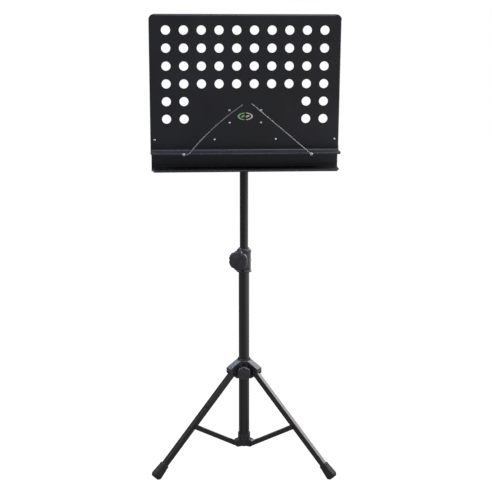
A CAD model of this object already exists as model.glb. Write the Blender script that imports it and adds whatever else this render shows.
"""The looks of a folding orchestral music stand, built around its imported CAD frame."""

import logging
import math
from collections.abc import Callable, Iterable, Sequence
from dataclasses import dataclass, field
from enum import Enum

import bmesh
import bpy
from mathutils import Matrix, Vector


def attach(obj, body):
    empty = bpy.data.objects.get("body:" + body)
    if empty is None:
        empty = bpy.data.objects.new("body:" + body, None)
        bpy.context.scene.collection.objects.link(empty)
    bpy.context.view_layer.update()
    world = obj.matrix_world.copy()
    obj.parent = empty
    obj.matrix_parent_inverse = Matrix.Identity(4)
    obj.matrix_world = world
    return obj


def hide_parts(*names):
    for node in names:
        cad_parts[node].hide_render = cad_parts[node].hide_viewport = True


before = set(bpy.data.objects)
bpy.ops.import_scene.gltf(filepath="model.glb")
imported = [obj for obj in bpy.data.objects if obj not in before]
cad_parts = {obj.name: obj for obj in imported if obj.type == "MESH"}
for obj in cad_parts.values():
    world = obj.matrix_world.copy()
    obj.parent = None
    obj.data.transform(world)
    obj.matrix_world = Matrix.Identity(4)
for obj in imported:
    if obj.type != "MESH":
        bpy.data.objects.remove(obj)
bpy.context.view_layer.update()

log = logging.getLogger("music_stand")
MM = 0.001

# Places that the CAD frame fixes, in metres and degrees.
LEG_AZIMUTHS = {"rear": 85.7, "front_left": 205.7, "front_right": 325.7}
LEG_PIVOT_R = 36 * MM
LEG_PIVOT_Z = 256.4 * MM
LEG_ANGLE = 43.2
CROWN_KNOB_AZIMUTH = 265.7
CROWN_KNOB_REACH = 27.6 * MM
CROWN_KNOB_Z = 261 * MM
CLUTCH_KNOB_AZIMUTH = 242.0
CLUTCH_KNOB_REACH = 26.8 * MM
CLUTCH_KNOB_Z = 571 * MM
TILT_KNOB_REACH = 14.8 * MM
TILT_AXIS_Z = 955.2 * MM
DESK_LEAN = 4.0

# How every finish drifts: the noise between these values swings the colour and the roughness.
COLOUR_STOPS = (0.32, 0.72)
GLOSS_STOPS = (0.3, 0.7)
GLOSS_SWING = (0.88, 1.14)
COAT_ROUGHNESS = 0.12
BUMP_STRENGTH = 0.6
# Dust lies where a face's normal rises above the first value, and covers at most the second.
DUST_FROM = 0.5
DUST_MOST = 0.22


# ---------------------------------------------------------------- colour and nodes
def linear(hex_colour: str) -> tuple[float, float, float, float]:
    """Turns an sRGB hex colour into the linear colour that a node takes.

    Args:
        hex_colour: Six hex digits with a leading hash.

    Returns:
        Red, green, blue and alpha, linear.
    """
    channels = []
    for digit in (1, 3, 5):
        value = int(hex_colour[digit : digit + 2], 16) / 255
        channels.append(value / 12.92 if value <= 0.04045 else ((value + 0.055) / 1.055) ** 2.4)
    return (*channels, 1.0)


def add_node(
    tree: bpy.types.NodeTree,
    kind: str,
    settings: dict[str | int, object] | None = None,
    links: dict[str | int, bpy.types.NodeSocket] | None = None,
) -> bpy.types.Node:
    """Adds one node with its settings and links.

    Args:
        tree: The node tree that gets the node.
        kind: The node's Blender type.
        settings: Input values by socket name or index, or properties of the node by name.
        links: Output sockets to join to this node's inputs, by input name or index.

    Returns:
        The new node.
    """
    node = tree.nodes.new(kind)
    for key, value in (settings or {}).items():
        if isinstance(key, int) or key in node.inputs:
            node.inputs[key].default_value = value
        else:
            setattr(node, key, value)
    for key, source in (links or {}).items():
        tree.links.new(source, node.inputs[key])
    return node


def set_ramp(node: bpy.types.Node, stops: Sequence[tuple[float, str]]) -> bpy.types.NodeSocket:
    """Gives a colour ramp its stops.

    Args:
        node: The ramp.
        stops: Position and hex colour of each stop, in rising order.

    Returns:
        The ramp's colour output.
    """
    elements = node.color_ramp.elements
    while len(elements) < len(stops):
        elements.new(0.5)
    for element, (position, colour) in zip(elements, stops):
        element.position = position
        element.color = linear(colour)
    return node.outputs["Color"]


class Grain(Enum):
    """How a surface was made, which sets what its fine relief looks like."""

    SPRAYED = "the rounded orange peel of a baked powder coat"
    DRAWN = "long faint lines along a drawn tube"
    SPARK_ERODED = "the even fine pitting of a mould wall"
    PLATED = "the smooth cloudy skin of a plated part"


@dataclass(frozen=True)
class Finish:
    """A finish, from what the real surface is made of to how it takes the light.

    Attributes:
        name: The material's name.
        slot: The record's slot that it belongs to.
        base: Main colour.
        shade: Second colour, which the first drifts to.
        roughness: Middle roughness.
        grain: How the surface was made.
        grain_mm: Size of one grain.
        relief_mm: Height of the grain.
        drift_mm: Distance over which the colour drifts.
        metallic: 1 for bare metal.
        ior: Index of refraction, left at the default for a metal.
        coat: Strength of a clear gloss layer.
        bloom: Colour of dust or haze that lies on upward faces, or empty.
    """

    name: str
    slot: str
    base: str
    shade: str
    roughness: float
    grain: Grain
    grain_mm: float
    relief_mm: float
    drift_mm: float = 60.0
    metallic: float = 0.0
    ior: float = 1.5
    coat: float = 0.0
    bloom: str = ""

    def stretch(self) -> tuple[float, float, float]:
        """How the grain's pattern is stretched along X, Y and Z."""
        return (1.0, 1.0, 0.04) if self.grain is Grain.DRAWN else (1.0, 1.0, 1.0)

    def build(self) -> bpy.types.Material:
        """Makes the material, or returns the one made before.

        Returns:
            The node material of this finish.
        """
        made = bpy.data.materials.get(self.name)
        if made:
            return made
        material = bpy.data.materials.new(self.name)
        material.use_nodes = True
        tree = material.node_tree
        tree.nodes.clear()
        place = add_node(tree, "ShaderNodeTexCoord").outputs["Object"]
        spread = add_node(
            tree, "ShaderNodeMapping", {"Scale": self.stretch()}, {"Vector": place}
        ).outputs["Vector"]
        drift = add_node(
            tree,
            "ShaderNodeTexNoise",
            {"Scale": 1 / (self.drift_mm * MM), "Detail": 4.0, "Roughness": 0.6},
            {"Vector": spread},
        ).outputs["Fac"]
        grain = self.grain_height(tree, spread)
        ramp = add_node(tree, "ShaderNodeValToRGB", links={"Fac": drift})
        colour = set_ramp(ramp, list(zip(COLOUR_STOPS, (self.base, self.shade))))
        if self.bloom:
            colour = self.add_bloom(tree, colour, drift)
        low, high = GLOSS_STOPS
        least, most = (self.roughness * swing for swing in GLOSS_SWING)
        gloss = add_node(
            tree,
            "ShaderNodeMapRange",
            {"From Min": low, "From Max": high, "To Min": least, "To Max": most},
            {"Value": drift},
        ).outputs["Result"]
        bump = add_node(
            tree,
            "ShaderNodeBump",
            {"Strength": BUMP_STRENGTH, "Distance": self.relief_mm * MM},
            {"Height": grain},
        ).outputs["Normal"]
        settings = {
            "Metallic": self.metallic,
            "IOR": self.ior,
            "Coat Weight": self.coat,
            "Coat Roughness": COAT_ROUGHNESS,
        }
        links = {"Base Color": colour, "Roughness": gloss, "Normal": bump}
        shader = add_node(tree, "ShaderNodeBsdfPrincipled", settings, links)
        add_node(tree, "ShaderNodeOutputMaterial", links={"Surface": shader.outputs["BSDF"]})
        return material

    def grain_height(
        self, tree: bpy.types.NodeTree, place: bpy.types.NodeSocket
    ) -> bpy.types.NodeSocket:
        """Adds the fine relief that the way of making leaves.

        Args:
            tree: The material's nodes.
            place: The coordinates that the pattern reads.

        Returns:
            The height output.
        """
        scale = 1 / (self.grain_mm * MM)
        if self.grain in (Grain.SPRAYED, Grain.SPARK_ERODED):
            settings = {"feature": "SMOOTH_F1", "Scale": scale, "Smoothness": 0.8}
            cells = add_node(tree, "ShaderNodeTexVoronoi", settings, {"Vector": place})
            return cells.outputs["Distance"]
        settings = {"Scale": scale, "Detail": 3.0, "Roughness": 0.55}
        return add_node(tree, "ShaderNodeTexNoise", settings, {"Vector": place}).outputs["Fac"]

    def add_bloom(
        self, tree: bpy.types.NodeTree, colour: bpy.types.NodeSocket, drift: bpy.types.NodeSocket
    ) -> bpy.types.NodeSocket:
        """Adds dust that settles on faces that look up.

        Args:
            tree: The material's nodes.
            colour: The clean colour.
            drift: A slow pattern that breaks the dust up.

        Returns:
            The dusted colour.
        """
        normal = add_node(tree, "ShaderNodeNewGeometry").outputs["Normal"]
        up = add_node(tree, "ShaderNodeSeparateXYZ", links={"Vector": normal}).outputs["Z"]
        lies = add_node(
            tree,
            "ShaderNodeMapRange",
            {"From Min": DUST_FROM, "From Max": 1.0, "To Min": 0.0, "To Max": DUST_MOST},
            {"Value": up},
        ).outputs["Result"]
        amount = add_node(
            tree, "ShaderNodeMath", {"operation": "MULTIPLY"}, {0: lies, 1: drift}
        ).outputs["Value"]
        dust = add_node(
            tree,
            "ShaderNodeMix",
            {"data_type": "RGBA", 7: linear(self.bloom)},
            {0: amount, 6: colour},
        )
        return dust.outputs[2]


# Polyester powder coat baked on sheet: deep black, semi-gloss, with a rounded peel that softens
# reflections. The peel is drawn at about twice its real pitch so that it shows.
DESK_COAT = Finish(
    "black_powder_coat_on_sheet", "desk_paint", "#141419", "#1c1d25", 0.4,
    Grain.SPRAYED, 2.4, 0.05, drift_mm=140, bloom="#6a6864",
)
# Stoved enamel on drawn steel tube: thinner and glossier, with faint lines along the draw.
TUBE_ENAMEL = Finish(
    "stoved_black_enamel_on_tube", "post_paint", "#0c0a09", "#14110f", 0.27,
    Grain.DRAWN, 1.6, 0.008, drift_mm=90, coat=0.2, bloom="#6a6864",
)
# Glass-filled nylon from a spark-eroded mould: dark grey-black and satin, with flow clouds.
MOULDED_NYLON = Finish(
    "glass_filled_black_nylon", "crown_plastic", "#222226", "#2b2b30", 0.36,
    Grain.SPARK_ERODED, 1.1, 0.03, drift_mm=25, ior=1.53, bloom="#77756f",
)
# The same nylon on the hand knobs, a little greyer where hands have polished it.
KNOB_NYLON = Finish(
    "handled_black_nylon", "knob_plastic", "#28282c", "#34343a", 0.36,
    Grain.SPARK_ERODED, 1.3, 0.05, drift_mm=12, ior=1.53,
)
# Unfilled nylon: milky white and waxy.
NATURAL_NYLON = Finish(
    "natural_nylon", "nylon", "#d8d4c6", "#c9c4b4", 0.45, Grain.PLATED, 2.0, 0.01,
    drift_mm=10, ior=1.53,
)
# Zinc plate on steel: pale grey with a blue-white cloud.
ZINC_PLATE = Finish(
    "zinc_plated_steel", "steel", "#b9bcc0", "#9da0a6", 0.32, Grain.PLATED, 1.2, 0.02,
    drift_mm=4, metallic=1.0,
)
# Steel blackened in hot oxide: nearly black, with a dull metal glint.
BLACK_OXIDE = Finish(
    "black_oxide_steel", "black_steel", "#2c2c2e", "#38383a", 0.4, Grain.PLATED, 1.0, 0.02,
    drift_mm=5, metallic=0.6,
)
# Bright nickel on hard-drawn wire.
NICKEL_WIRE = Finish(
    "nickel_plated_wire", "wire", "#9a9a9a", "#7f8082", 0.42, Grain.PLATED, 1.5, 0.005,
    drift_mm=15, metallic=1.0,
)
# Moulded rubber: the darkest and dullest black here, greyed by floor dust.
BOOT_RUBBER = Finish(
    "moulded_black_rubber", "boot_rubber", "#18181a", "#222223", 0.72,
    Grain.SPARK_ERODED, 1.6, 0.08, drift_mm=18, ior=1.52, bloom="#8a8780",
)
# Soft enamel poured in the badge: a deep grey-black under a clear gloss.
BADGE_GROUND = Finish(
    "dark_badge_enamel", "badge_enamel", "#101412", "#181d1a", 0.3,
    Grain.PLATED, 2.0, 0.01, drift_mm=6, coat=0.5,
)
# The same enamel in green, on the left half of the rim and its leaf.
BADGE_GREEN = Finish(
    "green_badge_enamel", "badge_enamel", "#7fb56f", "#93c583", 0.35,
    Grain.PLATED, 2.0, 0.01, drift_mm=6, coat=0.4,
)
# Pale lacquer, on the right half of the rim and its leaf.
BADGE_PALE = Finish(
    "pale_badge_lacquer", "badge_enamel", "#c9cdc2", "#b4b9ad", 0.35,
    Grain.PLATED, 1.5, 0.01, drift_mm=5, coat=0.3,
)


# ---------------------------------------------------------------- modelling by hand
def clear_selection() -> None:
    """Deselects every object and leaves edit mode."""
    if bpy.context.mode != "OBJECT":
        bpy.ops.object.mode_set(mode="OBJECT")
    bpy.ops.object.select_all(action="DESELECT")


def hold(piece: bpy.types.Object) -> None:
    """Makes one object the only selected and the active one.

    Args:
        piece: The object.
    """
    clear_selection()
    piece.select_set(True)
    bpy.context.view_layer.objects.active = piece


def start(adder: Callable[..., object], name: str, **settings: object) -> bpy.types.Object:
    """Adds a primitive to shape further.

    Args:
        adder: The operator that adds it.
        name: The piece's name.
        **settings: The operator's settings.

    Returns:
        The new object, selected and active.
    """
    clear_selection()
    adder(**settings)
    piece = bpy.context.active_object
    piece.name = name
    piece.data.name = name
    return piece


def pick(piece: bpy.types.Object, kind: str, test: Callable[[object], bool]) -> None:
    """Selects parts of the mesh in edit mode by a test, and nothing else.

    Args:
        piece: The object, in edit mode.
        kind: "VERT", "EDGE" or "FACE".
        test: Called with each vertex, edge or face.
    """
    bpy.ops.mesh.select_mode(type=kind)
    bpy.ops.mesh.select_all(action="DESELECT")
    mesh = bmesh.from_edit_mesh(piece.data)
    items = {"VERT": mesh.verts, "EDGE": mesh.edges, "FACE": mesh.faces}[kind]
    for item in items:
        if test(item):
            item.select_set(True)
    mesh.select_flush_mode()
    bmesh.update_edit_mesh(piece.data)


def pull(rise: float, spread: float) -> None:
    """Extrudes the selected open edges along Z and scales them across Z about the axis.

    Args:
        rise: How far the new edges move along Z.
        spread: Scale across Z.
    """
    bpy.ops.mesh.extrude_edges_move(TRANSFORM_OT_translate={"value": (0, 0, rise)})
    bpy.ops.transform.resize(value=(spread, spread, 1), center_override=(0, 0, 0))


def apply_modifier(piece: bpy.types.Object, kind: str, **settings: object) -> None:
    """Adds a modifier to a piece and applies it.

    Args:
        piece: The object.
        kind: The modifier's type.
        **settings: Its properties.
    """
    hold(piece)
    modifier = piece.modifiers.new(kind.lower(), kind)
    for key, value in settings.items():
        setattr(modifier, key, value)
    bpy.ops.object.modifier_apply(modifier=modifier.name)


def place(piece: bpy.types.Object, matrix: Matrix) -> None:
    """Moves a piece and puts the move into its mesh, so that its object stays at the origin.

    Args:
        piece: The object.
        matrix: The move.
    """
    hold(piece)
    piece.matrix_world = matrix @ piece.matrix_world
    bpy.ops.object.transform_apply(location=True, rotation=True, scale=True)


def face_out(piece: bpy.types.Object) -> None:
    """Merges doubled points and turns every face outwards.

    Args:
        piece: The object.
    """
    hold(piece)
    bpy.ops.object.mode_set(mode="EDIT")
    bpy.ops.mesh.select_all(action="SELECT")
    bpy.ops.mesh.remove_doubles(threshold=1e-6)
    bpy.ops.mesh.normals_make_consistent(inside=False)
    bpy.ops.object.mode_set(mode="OBJECT")


def smooth(piece: bpy.types.Object, angle: float = 35) -> None:
    """Shades a piece smooth wherever its faces meet at less than an angle in degrees."""
    hold(piece)
    bpy.ops.object.shade_smooth_by_angle(angle=math.radians(angle))


def dress(
    piece: bpy.types.Object, finish: Finish, body: str, replaced: Iterable[str] = ()
) -> bpy.types.Object:
    """Finishes a piece: its material, the body it rides on and what it stands for.

    Args:
        piece: The finished mesh, in place.
        finish: What it is made of.
        body: The CAD body that carries it.
        replaced: CAD nodes that it stands for.

    Returns:
        The piece.
    """
    piece.data.materials.clear()
    piece.data.materials.append(finish.build())
    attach(piece, body)
    if replaced:
        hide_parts(*replaced)
    log.info("%s: %d faces on %s", piece.name, len(piece.data.polygons), body)
    return piece


def coat_node(node: str, finish: Finish) -> None:
    """Gives a CAD node that keeps its shape a better material.

    Args:
        node: The node's name.
        finish: What it is made of.
    """
    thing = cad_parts[node]
    material = finish.build()
    if thing.material_slots:
        for slot in thing.material_slots:
            slot.material = material
    else:
        thing.data.materials.append(material)
    log.info("%s keeps its shape, in %s", node, finish.name)


def turned(
    name: str, profile: Sequence[tuple[float, float]], sides: int, closed: bool = False
) -> bpy.types.Object:
    """Models a turned piece about Z, ring by ring, as on a lathe.

    Args:
        name: The piece's name.
        profile: Radius and height of each ring, in millimetres.
        sides: Faces round each ring.
        closed: Whether the last ring meets the first, as in a sleeve, or both ends are capped.

    Returns:
        The new object.
    """
    first_r, first_z = profile[0]
    piece = start(
        bpy.ops.mesh.primitive_circle_add,
        name,
        vertices=sides,
        radius=first_r * MM,
        location=(0, 0, first_z * MM),
        fill_type="NOTHING" if closed else "NGON",
    )
    bpy.ops.object.transform_apply(location=True)
    bpy.ops.object.mode_set(mode="EDIT")
    pick(piece, "EDGE", lambda edge: True)
    radius, height = first_r, first_z
    for next_r, next_z in profile[1:]:
        pull((next_z - height) * MM, next_r / radius)
        radius, height = next_r, next_z
    if closed:
        pull((first_z - height) * MM, first_r / radius)
    else:
        bpy.ops.mesh.edge_face_add()
    bpy.ops.object.mode_set(mode="OBJECT")
    face_out(piece)
    return piece


def arc(
    centre: tuple[float, float], radius: float, start_deg: float, end_deg: float, steps: int
) -> list[tuple[float, float]]:
    """Points on an arc of a turned profile.

    Args:
        centre: Radius and height of the arc's centre, in millimetres.
        radius: The arc's radius.
        start_deg: Angle of the first point, from the outward direction towards +Z.
        end_deg: Angle of the last point.
        steps: Number of spans.

    Returns:
        The points, the first and the last among them.
    """
    points = []
    for step in range(steps + 1):
        angle = math.radians(start_deg + (end_deg - start_deg) * step / steps)
        points.append((centre[0] + radius * math.cos(angle), centre[1] + radius * math.sin(angle)))
    return points


def leg_place(azimuth: float) -> Matrix:
    """Where the leg frame stands: the leg runs along -Z from its pivot, +X faces out and up.

    Args:
        azimuth: Direction of the leg round the post, in degrees.

    Returns:
        The placing.
    """
    turn = Matrix.Rotation(math.radians(azimuth), 4, "Z")
    lean = Matrix.Rotation(math.radians(-LEG_ANGLE), 4, "Y")
    return turn @ Matrix.Translation((LEG_PIVOT_R, 0, LEG_PIVOT_Z)) @ lean


def desk_place() -> Matrix:
    """Where the desk frame stands: its origin on the tilt axis, leaned towards the player."""
    lean = Matrix.Rotation(math.radians(DESK_LEAN), 4, "X")
    return Matrix.Translation((0, 0, TILT_AXIS_Z)) @ lean


def radial_place(azimuth: float, reach: float, height: float) -> Matrix:
    """Where a radial piece stands: its +Z points away from the post at an azimuth.

    Args:
        azimuth: Direction round the post, in degrees.
        reach: Distance from the post's axis.
        height: Height above the floor.

    Returns:
        The placing.
    """
    turn = Matrix.Rotation(math.radians(azimuth), 4, "Z")
    outward = Matrix.Rotation(math.radians(90), 4, "Y")
    return turn @ Matrix.Translation((reach, 0, height)) @ outward


# ---------------------------------------------------------------- hand knobs
# Shares of a knob's radius and thickness, ring by ring: from the rim up over the dome, from the
# rim down to the skirt, and from the skirt down to the hub behind it.
RIM_LEVEL = 0.42
DOME = (
    (1.0, 0.52), (0.992, 0.58), (0.972, 0.645), (0.93, 0.71), (0.86, 0.77), (0.77, 0.82),
    (0.74, 0.822), (0.715, 0.805), (0.69, 0.81), (0.5, 0.88), (0.28, 0.93), (0.1, 0.95),
)
SKIRT = ((0.985, 0.37), (0.95, 0.34), (0.86, 0.31), (0.62, 0.26))
HUB = ((0.57, 0.2), (0.55, 0.02), (0.5, 0.0))
POINTS_PER_LOBE = 18
# The grip bar: its turn on the face in degrees, and its height and middle as shares of the
# knob's thickness, and the rounding of its edges as a share of its width.
BAR_TURN = -40
BAR_HEIGHT = 0.34
BAR_LEVEL = 0.83
BAR_ROUNDING = 0.3


@dataclass
class HandKnob:
    """A moulded knob with finger valleys, a domed face and a raised grip bar.

    Attributes:
        name: The piece's name.
        node: The CAD node that it stands for.
        body: The CAD body that it rides on.
        matrix: Where the knob's back stands, its face along +Z.
        radius: Radius over the lobes, in millimetres.
        thickness: Height of the dome above the back.
        lobes: Number of lobes.
        valley: Depth of a finger valley.
        pinch: How narrow the valleys are, from 1 for a wave to 8 for notches.
        bar: Width and length of the grip bar, or nothing.
    """

    name: str
    node: str
    body: str
    matrix: Matrix
    radius: float
    thickness: float
    lobes: int
    valley: float
    pinch: float = 1.6
    bar: tuple[float, float] | None = None

    def shape_rim(self, piece: bpy.types.Object) -> None:
        """Presses the finger valleys into the starting ring.

        Args:
            piece: The ring, in edit mode.
        """
        mesh = bmesh.from_edit_mesh(piece.data)
        for vertex in mesh.verts:
            angle = math.atan2(vertex.co.y, vertex.co.x)
            wave = 0.5 - 0.5 * math.cos(self.lobes * angle)
            depth = self.valley * MM * wave**self.pinch
            vertex.co.xy *= 1 - depth / (self.radius * MM)
        bmesh.update_edit_mesh(piece.data)

    def build(self) -> bpy.types.Object:
        """Models the knob.

        Returns:
            The knob, in place.
        """
        knob = start(
            bpy.ops.mesh.primitive_circle_add,
            self.name,
            vertices=self.lobes * POINTS_PER_LOBE,
            radius=self.radius * MM,
            fill_type="NOTHING",
        )
        bpy.ops.object.mode_set(mode="EDIT")
        self.shape_rim(knob)
        pick(knob, "EDGE", lambda edge: True)
        bpy.ops.transform.translate(value=(0, 0, self.thickness * RIM_LEVEL * MM))
        self.pull_rings(RIM_LEVEL, DOME)
        bpy.ops.mesh.edge_face_add()
        pick(knob, "EDGE", lambda edge: edge.is_boundary)
        self.pull_rings(RIM_LEVEL, SKIRT)
        bpy.ops.transform.tosphere(value=1.0)
        inner, level = SKIRT[-1]
        self.pull_rings(level, HUB, last=inner)
        bpy.ops.mesh.edge_face_add()
        bpy.ops.object.mode_set(mode="OBJECT")
        face_out(knob)
        if self.bar:
            self.add_bar(knob)
        place(knob, self.matrix)
        smooth(knob, 42)
        return knob

    def pull_rings(
        self, height: float, rings: Sequence[tuple[float, float]], last: float = 1.0
    ) -> None:
        """Extrudes the open edge through rings of the profile.

        Args:
            height: Share of the thickness at which the edge starts.
            rings: Share of the radius and of the thickness, ring by ring.
            last: Share of the radius at which the edge starts.
        """
        for share, level in rings:
            pull((level - height) * self.thickness * MM, share / last)
            last, height = share, level

    def add_bar(self, knob: bpy.types.Object) -> None:
        """Fuses a raised, rounded grip bar onto the knob's face.

        Args:
            knob: The knob, upright at the origin.
        """
        width, length = self.bar
        top = self.thickness * MM
        bar = start(bpy.ops.mesh.primitive_cube_add, self.name + "_bar", size=1)
        bar.scale = (length * MM, width * MM, top * BAR_HEIGHT)
        bar.location = (0, 0, top * BAR_LEVEL)
        bpy.ops.object.transform_apply(location=True, scale=True)
        bar.rotation_euler = (0, 0, math.radians(BAR_TURN))
        bpy.ops.object.transform_apply(rotation=True)
        rounding = width * BAR_ROUNDING * MM
        apply_modifier(bar, "BEVEL", width=rounding, segments=4, limit_method="NONE")
        apply_modifier(knob, "BOOLEAN", operation="UNION", object=bar, solver="EXACT")
        bpy.data.objects.remove(bar)

    def dress(self, knob: bpy.types.Object) -> None:
        """Gives the knob its nylon and its body."""
        dress(knob, KNOB_NYLON, self.body, [self.node])


# ---------------------------------------------------------------- post
@dataclass
class Post:
    """The two tubes and the clutch housing between them.

    Attributes:
        bore: Inner radius of the housing over the post, in millimetres.
        waist: Outer radius of the housing.
        bead: Outer radius of its beads.
        low: Height of its lower end.
        high: Height of its upper end.
        lip_bore: Inner radius of the lip over the mast.
        bush_seat: Inner radius round the clutch bush.
        seat_floor: Height of the bush's lower end.
        sides: Faces round the housing.
        boss: Radius and reach of each ring of the boss for the stud, outside and then inside.
    """

    bore: float = 14.52
    waist: float = 18.6
    bead: float = 20.1
    low: float = 534.5
    high: float = 600.0
    lip_bore: float = 12.0
    bush_seat: float = 13.25
    seat_floor: float = 548.02
    sides: int = 96
    boss: tuple[tuple[float, float], ...] = (
        (11.6, 14.6), (11.2, 17), (11, 24.6), (10.6, 25.6), (9.6, 26), (6.4, 26),
        (6.2, 25.2), (4.1, 25.2), (4.1, 14.6),
    )

    def housing(self) -> bpy.types.Object:
        """Models the beaded clutch housing with its boss for the clamping stud.

        Returns:
            The housing, in place.
        """
        low, high = self.low, self.high
        outside = [(self.bore, low), (self.bead - 1.4, low)]
        outside += arc((self.bead - 1.6, low + 2.6), 2.5, -80, 70, 7)
        outside += [(self.waist, low + 6.6), (self.waist - 0.1, low + 17), (self.waist, low + 27.4)]
        outside += arc((self.bead - 2.4, low + 32), 2.5, -62, 62, 7)
        outside += [(self.waist, low + 36.6), (self.waist, high - 13.4)]
        outside += arc((self.bead - 2.2, high - 9.2), 2.4, -58, 62, 7)
        outside += [(self.waist + 0.2, high - 5.4), (16.4, high - 2.2)]
        outside += [(14.6, high - 0.4), (13.6, high)]
        lip, seat, floor = self.lip_bore, self.bush_seat, self.seat_floor
        inside = [(lip + 0.4, high), (lip, high - 0.5), (lip, high - 4), (seat, high - 4)]
        inside += [(seat, floor), (self.bore, floor)]
        housing = turned("clutch_housing", outside + inside, self.sides, closed=True)
        boss = turned("clutch_boss", self.boss, self.sides // 2, closed=True)
        place(boss, radial_place(CLUTCH_KNOB_AZIMUTH, 0, CLUTCH_KNOB_Z))
        apply_modifier(housing, "BOOLEAN", operation="UNION", object=boss, solver="EXACT")
        bpy.data.objects.remove(boss)
        smooth(housing, 38)
        return housing

    def dress(self) -> None:
        """Builds the housing and coats the tubes and what is inside them."""
        dress(self.housing(), MOULDED_NYLON, "post", ["clutch_collar"])
        for node in ("lower_tube", "upper_tube"):
            coat_node(node, TUBE_ENAMEL)
        for node in ("clutch_bush", "glide_bush"):
            coat_node(node, NATURAL_NYLON)
        coat_node("mast_end_plug", KNOB_NYLON)
        for node in ("clutch_shoe", "clutch_stud"):
            coat_node(node, ZINC_PLATE)


# ---------------------------------------------------------------- tripod
@dataclass
class Boot:
    """A flared rubber boot on the end of a leg.

    Attributes:
        mouth: Distance along the leg from its pivot to the boot's mouth, in millimetres.
        belly: Distance to the widest part.
        end: Distance to the boot's end.
        mouth_width: Width at the mouth.
        belly_width: Width where the boot is widest.
        end_width: Width at the end.
        socket: Width of the leg in the socket.
        socket_depth: Depth of the socket.
        corner: Radius of the four long corners.
    """

    mouth: float = 303.0
    belly: float = 340.5
    end: float = 347.0
    mouth_width: float = 19.6
    belly_width: float = 23.8
    end_width: float = 17.6
    socket: float = 15.04
    socket_depth: float = 33.0
    corner: float = 3.0

    def levels(self) -> list[tuple[float, float]]:
        """Lists the boot's rings, with a collar at the mouth and two grooves.

        Returns:
            Depth below the mouth and width of each ring.
        """
        length = self.belly - self.mouth
        tail = self.end - self.belly
        mouth = self.mouth_width
        grow = (self.belly_width - mouth) / length
        rings = [(0.0, mouth - 1.4), (0.5, mouth - 0.4), (1.4, mouth + 0.2)]
        for groove in (6.0, 10.5):
            for step, dip in ((0.0, 0.0), (0.5, 0.9), (1.2, 1.1), (1.9, 0.9), (2.4, 0.0)):
                depth = groove + step
                rings.append((depth, mouth + grow * depth - dip))
        for depth in (16.0, 26.0, length - 1.4):
            rings.append((depth, mouth + grow * depth))
        rings += [(length, self.belly_width - 0.4), (length + 1.4, self.belly_width - 1.6)]
        whole, end = length + tail, self.end_width
        rings += [(whole - 1.3, end + 1.0), (whole - 0.4, end - 0.6), (whole, end - 3.0)]
        return rings

    def build(self, leg: str) -> bpy.types.Object:
        """Models the boot, cut flat where it stands on the floor.

        Args:
            leg: The leg's name.

        Returns:
            The boot, in place.
        """
        rings = self.levels()
        boot = start(bpy.ops.mesh.primitive_plane_add, f"boot_{leg}", size=rings[0][1] * MM)
        bpy.ops.object.mode_set(mode="EDIT")
        bpy.ops.mesh.select_all(action="SELECT")
        bpy.ops.mesh.bevel(offset=self.corner * MM, segments=5, affect="VERTICES")
        pick(boot, "EDGE", lambda edge: edge.is_boundary)
        depth, width = rings[0]
        for next_depth, next_width in rings[1:]:
            pull((depth - next_depth) * MM, next_width / width)
            depth, width = next_depth, next_width
        bpy.ops.mesh.edge_face_add()
        pick(boot, "FACE", lambda face: abs(face.calc_center_median().z) < 1e-7)
        rim = (rings[0][1] - self.socket) / 2
        bpy.ops.mesh.inset(thickness=rim * MM)
        down = (0, 0, -self.socket_depth * MM)
        bpy.ops.mesh.extrude_region_move(TRANSFORM_OT_translate={"value": down})
        bpy.ops.object.mode_set(mode="OBJECT")
        face_out(boot)
        along = Matrix.Translation((0, 0, -self.mouth * MM))
        place(boot, leg_place(LEG_AZIMUTHS[leg]) @ along)
        self.cut_flat(boot)
        smooth(boot, 30)
        return boot

    def cut_flat(self, boot: bpy.types.Object) -> None:
        """Trims what would be under the floor and closes the cut.

        Args:
            boot: The boot, in place.
        """
        hold(boot)
        bpy.ops.object.mode_set(mode="EDIT")
        bpy.ops.mesh.select_all(action="SELECT")
        bpy.ops.mesh.bisect(
            plane_co=(0, 0, 0), plane_no=(0, 0, 1), use_fill=True, clear_inner=True
        )
        bpy.ops.object.mode_set(mode="OBJECT")
        face_out(boot)


@dataclass
class Tripod:
    """The crown, the hub and the three legs with their struts and boots.

    Attributes:
        boot: The boot that is modelled once for each leg.
    """

    boot: Boot = field(default_factory=Boot)

    def dress(self) -> None:
        """Builds the boots and coats every node of the tripod."""
        for leg in LEG_AZIMUTHS:
            dress(self.boot.build(leg), BOOT_RUBBER, f"leg_body_{leg}", [f"foot_{leg}"])
            coat_node(f"leg_{leg}", TUBE_ENAMEL)
            coat_node(f"strut_{leg}", TUBE_ENAMEL)
            coat_node(f"leg_bush_{leg}", BLACK_OXIDE)
            coat_node(f"strut_rivets_{leg}", BLACK_OXIDE)
        for node in ("crown", "hub"):
            coat_node(node, MOULDED_NYLON)
        for node in ("leg_pins", "strut_hub_pins", "hub_screws"):
            coat_node(node, BLACK_OXIDE)
        for node in ("crown_shoe", "crown_stud"):
            coat_node(node, ZINC_PLATE)


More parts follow.
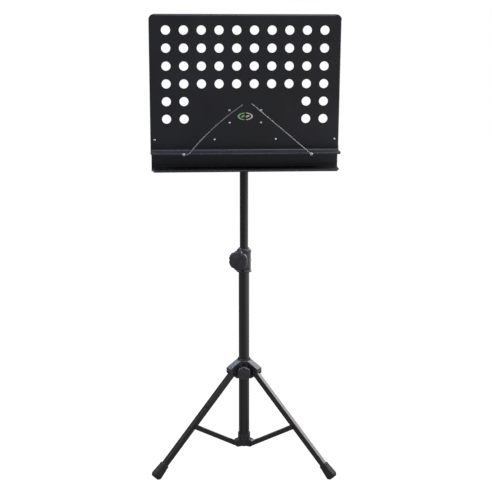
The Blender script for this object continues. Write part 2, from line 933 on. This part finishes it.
# ---------------------------------------------------------------- desk
@dataclass
class PageHolder:
    """A spring wire, straight or bowed, with an eye round its rivet.

    Attributes:
        side: "left" or "right".
        pivot: The rivet's centre in the desk frame, in millimetres.
        tip: The wire's end in the desk frame.
        foot: How far the wire runs along the lip before it rises.
        bow: How far the rising wire's middle stands outside the straight line.
        wire: Radius of the wire.
        eye: Radius of the eye's centre line.
        eye_turn: How far the eye goes round the rivet, in degrees.
        steps: Number of spans round the eye, in the corner and along the rise.
        corner: Length before and after the corner over which the wire turns.
    """

    side: str
    pivot: tuple[float, float, float]
    tip: tuple[float, float]
    foot: float
    bow: float
    wire: float = 1.3
    eye: float = 2.9
    eye_turn: float = 330.0
    steps: tuple[int, int, int] = (20, 8, 28)
    corner: tuple[float, float] = (5.0, 7.0)

    def line(self) -> list[Vector]:
        """Points along the wire, from the end of its eye to its tip.

        Returns:
            The points in the desk frame, in metres.
        """
        x, y, z = self.pivot
        centre, tip = Vector((x, z)), Vector(self.tip)
        inward = Vector((1.0 if self.side == "left" else -1.0, 0.0))
        heel = centre + inward * self.foot
        along = (tip - heel).normalized()
        outward = Vector((-inward.x * along.y, inward.x * along.x))
        leaving = inward if self.foot else along
        swing = Vector((-inward.x * leaving.y, inward.x * leaving.x))
        round_eye, round_corner, rising = self.steps
        points = []
        for step in range(round_eye):
            angle = math.radians(self.eye_turn * (1 - step / round_eye))
            points.append(centre + (leaving * math.cos(angle) - swing * math.sin(angle)) * self.eye)
        if self.foot:
            before = heel - inward * self.corner[0]
            after = heel + along * self.corner[1] + outward * self.bow * 0.14
            for step in range(round_corner + 1):
                t = step / round_corner
                points.append(before.lerp(heel, t).lerp(heel.lerp(after, t), t))
        first = 0.05 if self.foot else self.eye / (tip - heel).length + 0.01
        for step in range(rising + 1):
            t = first + (1 - first) * step / rising
            points.append(heel.lerp(tip, t) + outward * 4 * t * (1 - t) * self.bow)
        return [Vector((point.x, y, point.y)) * MM for point in points]

    def build(self) -> bpy.types.Object:
        """Models the wire.

        Returns:
            The wire as a mesh, in place.
        """
        curve = bpy.data.curves.new(f"page_wire_{self.side}", "CURVE")
        curve.dimensions = "3D"
        curve.bevel_depth = self.wire * MM
        curve.bevel_resolution = 4
        curve.use_fill_caps = True
        spline = curve.splines.new("POLY")
        points = self.line()
        spline.points.add(len(points) - 1)
        for target, point in zip(spline.points, points):
            target.co = (*point, 1)
        wire = bpy.data.objects.new(curve.name, curve)
        bpy.context.scene.collection.objects.link(wire)
        hold(wire)
        bpy.ops.object.convert(target="MESH")
        bead = start(
            bpy.ops.mesh.primitive_uv_sphere_add, "bead", segments=24, ring_count=14,
            radius=(self.wire + 0.4) * MM, location=points[-1],
        )
        bpy.ops.object.transform_apply(location=True)
        apply_modifier(wire, "BOOLEAN", operation="UNION", object=bead, solver="EXACT")
        bpy.data.objects.remove(bead)
        place(wire, desk_place())
        smooth(wire, 40)
        return wire

    def dress(self) -> None:
        """Builds the wire in bright nickel."""
        node = f"page_holder_{self.side}"
        dress(self.build(), NICKEL_WIRE, f"holder_{self.side}_body", [node])


@dataclass
class Badge:
    """An oval nameplate with a raised rim and two plain leaves, and no lettering.

    Attributes:
        half_width: Half the oval's width, in millimetres.
        half_height: Half its height.
        front: Depth of the plate's face in the desk frame.
        height: Height of the oval's centre above the tilt axis.
        leaf_turn: How far the leaves lean, in degrees.
        rim_gap: Half the gap between the two halves of the rim.
    """

    half_width: float = 20.5
    half_height: float = 10.0
    front: float = -45.0
    height: float = 1.0
    leaf_turn: float = -24.0
    rim_gap: float = 2.2

    def oval(
        self, name: str, profile: Sequence[tuple[float, float]], closed: bool
    ) -> bpy.types.Object:
        """Turns a round piece and stretches it to the badge's oval.

        Args:
            name: The piece's name.
            profile: Share of the radius, in hundredths, and height in millimetres.
            closed: Whether it is a ring.

        Returns:
            The piece, facing the player.
        """
        piece = turned(name, profile, 72, closed)
        stretch = Matrix.Diagonal((self.half_width / 100, self.half_height / 100, 1, 1))
        seat = Matrix.Translation((0, self.front * MM, self.height * MM))
        facing = Matrix.Rotation(math.radians(90), 4, "X")
        place(piece, desk_place() @ seat @ facing @ stretch)
        smooth(piece, 40)
        return piece

    def leaf(
        self, name: str, centre: tuple[float, float], size: tuple[float, float]
    ) -> bpy.types.Object:
        """Models one raised leaf of the emblem.

        Args:
            name: The piece's name.
            centre: Where it lies on the badge, in millimetres.
            size: Its half length and half width.

        Returns:
            The leaf.
        """
        piece = start(
            bpy.ops.mesh.primitive_uv_sphere_add, name, segments=32, ring_count=16, radius=MM
        )
        shape = Matrix.Diagonal((size[0], 0.5, size[1], 1))
        tilt = Matrix.Rotation(math.radians(self.leaf_turn), 4, "Y")
        across, up = centre
        seat = Matrix.Translation(
            (across * MM, (self.front - 0.55) * MM, (self.height + up) * MM)
        )
        place(piece, desk_place() @ seat @ tilt @ shape)
        smooth(piece, 60)
        return piece

    def half_rim(self, side: int) -> bpy.types.Object:
        """Models one half of the raised rim, open a little at the top and the bottom.

        Args:
            side: -1 for the left half, 1 for the right one.

        Returns:
            The half rim.
        """
        name = "badge_rim_left" if side < 0 else "badge_rim_right"
        section = [(97, 0.5), (95, 0.9), (86, 1.05), (77, 0.9), (75, 0.5)]
        rim = self.oval(name, section, closed=True)
        hold(rim)
        bpy.ops.object.mode_set(mode="EDIT")
        bpy.ops.mesh.select_all(action="SELECT")
        bpy.ops.mesh.bisect(
            plane_co=(side * self.rim_gap * MM, 0, 0),
            plane_no=(side, 0, 0),
            use_fill=True,
            clear_inner=True,
        )
        bpy.ops.object.mode_set(mode="OBJECT")
        face_out(rim)
        smooth(rim, 40)
        return rim

    def dress(self) -> None:
        """Builds the badge on the desk."""
        section = [(100, 0.02), (100, 0.45), (98, 0.6), (50, 0.62)]
        dress(self.oval("badge_ground", section, closed=False), BADGE_GROUND, "desk", ["badge"])
        dress(self.half_rim(-1), BADGE_GREEN, "desk")
        dress(self.half_rim(1), BADGE_PALE, "desk")
        leaf_size = (5.2, 2.0)
        dress(self.leaf("badge_leaf_left", (-6.0, 0.2), leaf_size), BADGE_GREEN, "desk")
        dress(self.leaf("badge_leaf_right", (6.0, 0.2), leaf_size), BADGE_PALE, "desk")


@dataclass
class Desk:
    """The music plate, its shelves, its bracket and its badge.

    Attributes:
        holders: The two page holders.
        badge: The nameplate.
    """

    holders: tuple[PageHolder, PageHolder] = field(
        default_factory=lambda: (
            PageHolder("left", (-160.0, -90.9, -90.3), (-12.0, 35.0), foot=12.0, bow=7.0),
            PageHolder("right", (167.0, -94.7, -90.3), (14.0, 38.0), foot=0.0, bow=0.0),
        )
    )
    badge: Badge = field(default_factory=Badge)

    def dress(self) -> None:
        """Coats the sheet metal and its fastenings and builds the badge and the page holders."""
        for node in ("desk_plate", "accessory_shelf", "tilt_bracket"):
            coat_node(node, DESK_COAT)
        for node in ("shelf_rivets", "bracket_rivets", "holder_rivets", "tilt_bolt"):
            coat_node(node, ZINC_PLATE)
        coat_node("tilt_head", MOULDED_NYLON)
        coat_node("head_screw", BLACK_OXIDE)
        coat_node("tilt_washers", NATURAL_NYLON)
        self.badge.dress()
        for holder in self.holders:
            holder.dress()


# ---------------------------------------------------------------- studio
@dataclass
class Studio:
    """A white sweep, soft lamps and the camera.

    Attributes:
        distance: Level distance from the camera to the post's axis, in metres.
        bearing: How far the camera stands to the stand's left, in degrees.
        height: Height of the camera.
        pitch: How far it looks down, in degrees.
        aim: How far its axis passes to the right of the post, in degrees.
        lens: Focal length in millimetres on a 36 mm sensor.
        surround: Brightness of the room as the stand sees it, where the camera sees 1.
        floor_glow: Brightness of the floor as the stand sees it, below it and far to its right.
        floor_span: Where along X the floor's glow starts and stops rising.
        paper_glow: Brightness of the floor as the camera sees it.
        paper_share: How much of the floor's look is its glow.
        lamps: Name, place, aim, side, watts and tint of each lamp.
    """

    distance: float = 2.825
    bearing: float = 4.3
    height: float = 1.128
    pitch: float = 10.5
    aim: float = 0.11
    lens: float = 78.4
    surround: float = 0.27
    floor_glow: tuple[float, float] = (0.3, 1.3)
    floor_span: tuple[float, float] = (0.2, 1.8)
    paper_glow: float = 1.12
    paper_share: float = 0.86
    lamps: tuple[tuple, ...] = (
        ("key_right_lamp", (2.4, -0.8, 2.6), (0, 0, 0.5), 1.5, 48, "#fffcf9"),
        ("left_lamp", (-2.5, -0.9, 2.2), (0, 0, 0.5), 1.3, 28, "#e2eaff"),
        ("back_right_lamp", (2.08, 1.74, 1.7), (0, 0, 0.3), 1.8, 52, "#fff8f8"),
        ("back_left_lamp", (-1.3, 1.8, 2.4), (0, 0, 0.3), 1.0, 26, "#d2dcff"),
        ("top_lamp", (0.3, -0.7, 3.0), (0, 0, 0.5), 1.2, 26, "#e6ecff"),
    )

    def sweep(self) -> None:
        """Models the pale floor."""
        floor = start(bpy.ops.mesh.primitive_plane_add, "studio_sweep", size=1)
        floor.scale = (14, 9, 1)
        floor.location = (0, 0.5, 0)
        bpy.ops.object.transform_apply(location=True, scale=True)
        floor.data.materials.append(self.paper())

    def paper(self) -> bpy.types.Material:
        """Makes the sweep's paper, which glows almost white so that shadows on it stay faint.

        Returns:
            The material.
        """
        material = bpy.data.materials.new("white_paper_sweep")
        material.use_nodes = True
        tree = material.node_tree
        tree.nodes.clear()
        matte = add_node(tree, "ShaderNodeBsdfDiffuse", {"Color": linear("#f4f4f4")})
        seen = add_node(tree, "ShaderNodeLightPath").outputs["Is Camera Ray"]
        spot = add_node(tree, "ShaderNodeTexCoord").outputs["Object"]
        across = add_node(tree, "ShaderNodeSeparateXYZ", links={"Vector": spot}).outputs["X"]
        near, far = self.floor_span
        low, high = self.floor_glow
        glows = add_node(
            tree,
            "ShaderNodeMapRange",
            {"From Min": near, "From Max": far, "To Min": low, "To Max": high},
            {"Value": across},
        ).outputs["Result"]
        strength = add_node(
            tree,
            "ShaderNodeMapRange",
            {"To Max": self.paper_glow},
            {"Value": seen, "To Min": glows},
        ).outputs["Result"]
        glow = add_node(tree, "ShaderNodeEmission", links={"Strength": strength})
        mixed = add_node(
            tree,
            "ShaderNodeMixShader",
            {0: self.paper_share},
            {1: matte.outputs["BSDF"], 2: glow.outputs["Emission"]},
        )
        add_node(tree, "ShaderNodeOutputMaterial", links={"Surface": mixed.outputs["Shader"]})
        return material

    def lamp(
        self,
        name: str,
        spot: Sequence[float],
        aim: Sequence[float],
        size: float,
        power: float,
        tint: str,
    ) -> None:
        """Adds one large soft lamp.

        Args:
            name: The lamp's name.
            spot: Where it stands.
            aim: What it looks at.
            size: Side of the square lamp, in metres.
            power: Watts.
            tint: Colour of its light.
        """
        data = bpy.data.lights.new(name, "AREA")
        data.size = size
        data.energy = power
        data.color = linear(tint)[:3]
        lamp = bpy.data.objects.new(name, data)
        lamp.location = spot
        lamp.rotation_euler = (Vector(aim) - Vector(spot)).to_track_quat("-Z", "Y").to_euler()
        bpy.context.scene.collection.objects.link(lamp)

    def light(self) -> None:
        """Sets the white surround and the lamps."""
        world = bpy.data.worlds.new("white_surround")
        world.use_nodes = True
        tree = world.node_tree
        seen = add_node(tree, "ShaderNodeLightPath").outputs["Is Camera Ray"]
        strength = add_node(
            tree, "ShaderNodeMapRange", {"To Min": self.surround, "To Max": 1.0}, {"Value": seen}
        ).outputs["Result"]
        tree.nodes["Background"].inputs["Color"].default_value = (1, 1, 1, 1)
        tree.links.new(strength, tree.nodes["Background"].inputs["Strength"])
        bpy.context.scene.world = world
        for lamp in self.lamps:
            self.lamp(*lamp)

    def camera(self) -> None:
        """Places the camera."""
        data = bpy.data.cameras.new("camera")
        data.sensor_width = 36
        data.lens = self.lens
        data.clip_start = 0.05
        data.clip_end = 60
        camera = bpy.data.objects.new("camera", data)
        swing = math.radians(self.bearing)
        camera.location = (
            -self.distance * math.sin(swing), -self.distance * math.cos(swing), self.height
        )
        turn = -math.radians(self.bearing + self.aim)
        camera.rotation_euler = (math.radians(90 - self.pitch), 0, turn)
        bpy.context.scene.collection.objects.link(camera)
        bpy.context.scene.camera = camera

    def build(self) -> None:
        """Sets up the whole studio."""
        bpy.context.scene.view_settings.view_transform = "Standard"
        self.camera()
        self.light()
        self.sweep()


def knobs() -> list[HandKnob]:
    """Describes the three hand knobs, each where its CAD node is.

    Returns:
        The clutch knob, the crown knob and the tilt knob.
    """
    clutch_seat = radial_place(CLUTCH_KNOB_AZIMUTH, CLUTCH_KNOB_REACH, CLUTCH_KNOB_Z)
    crown_seat = radial_place(CROWN_KNOB_AZIMUTH, CROWN_KNOB_REACH, CROWN_KNOB_Z)
    tilt_seat = desk_place() @ radial_place(0, TILT_KNOB_REACH, 0)
    return [
        HandKnob(
            "clutch_knob_grip", "clutch_knob", "clutch_knob_body", clutch_seat,
            radius=27, thickness=22, lobes=6, valley=2.2, pinch=8.0, bar=(4.5, 34),
        ),
        HandKnob(
            "crown_knob_grip", "crown_knob", "crown_knob_body", crown_seat,
            radius=18.5, thickness=18, lobes=6, valley=1.6, pinch=3.0,
        ),
        HandKnob(
            "tilt_knob_grip", "tilt_knob", "tilt_knob_body", tilt_seat,
            radius=19, thickness=17, lobes=6, valley=1.6, pinch=3.0,
        ),
    ]


def main() -> None:
    """Builds the studio and every sub-assembly, in order."""
    logging.basicConfig(level=logging.INFO, format="%(message)s")
    Studio().build()
    Post().dress()
    Tripod().dress()
    for knob in knobs():
        knob.dress(knob.build())
    Desk().dress()


if __name__ == "__main__":
    main()
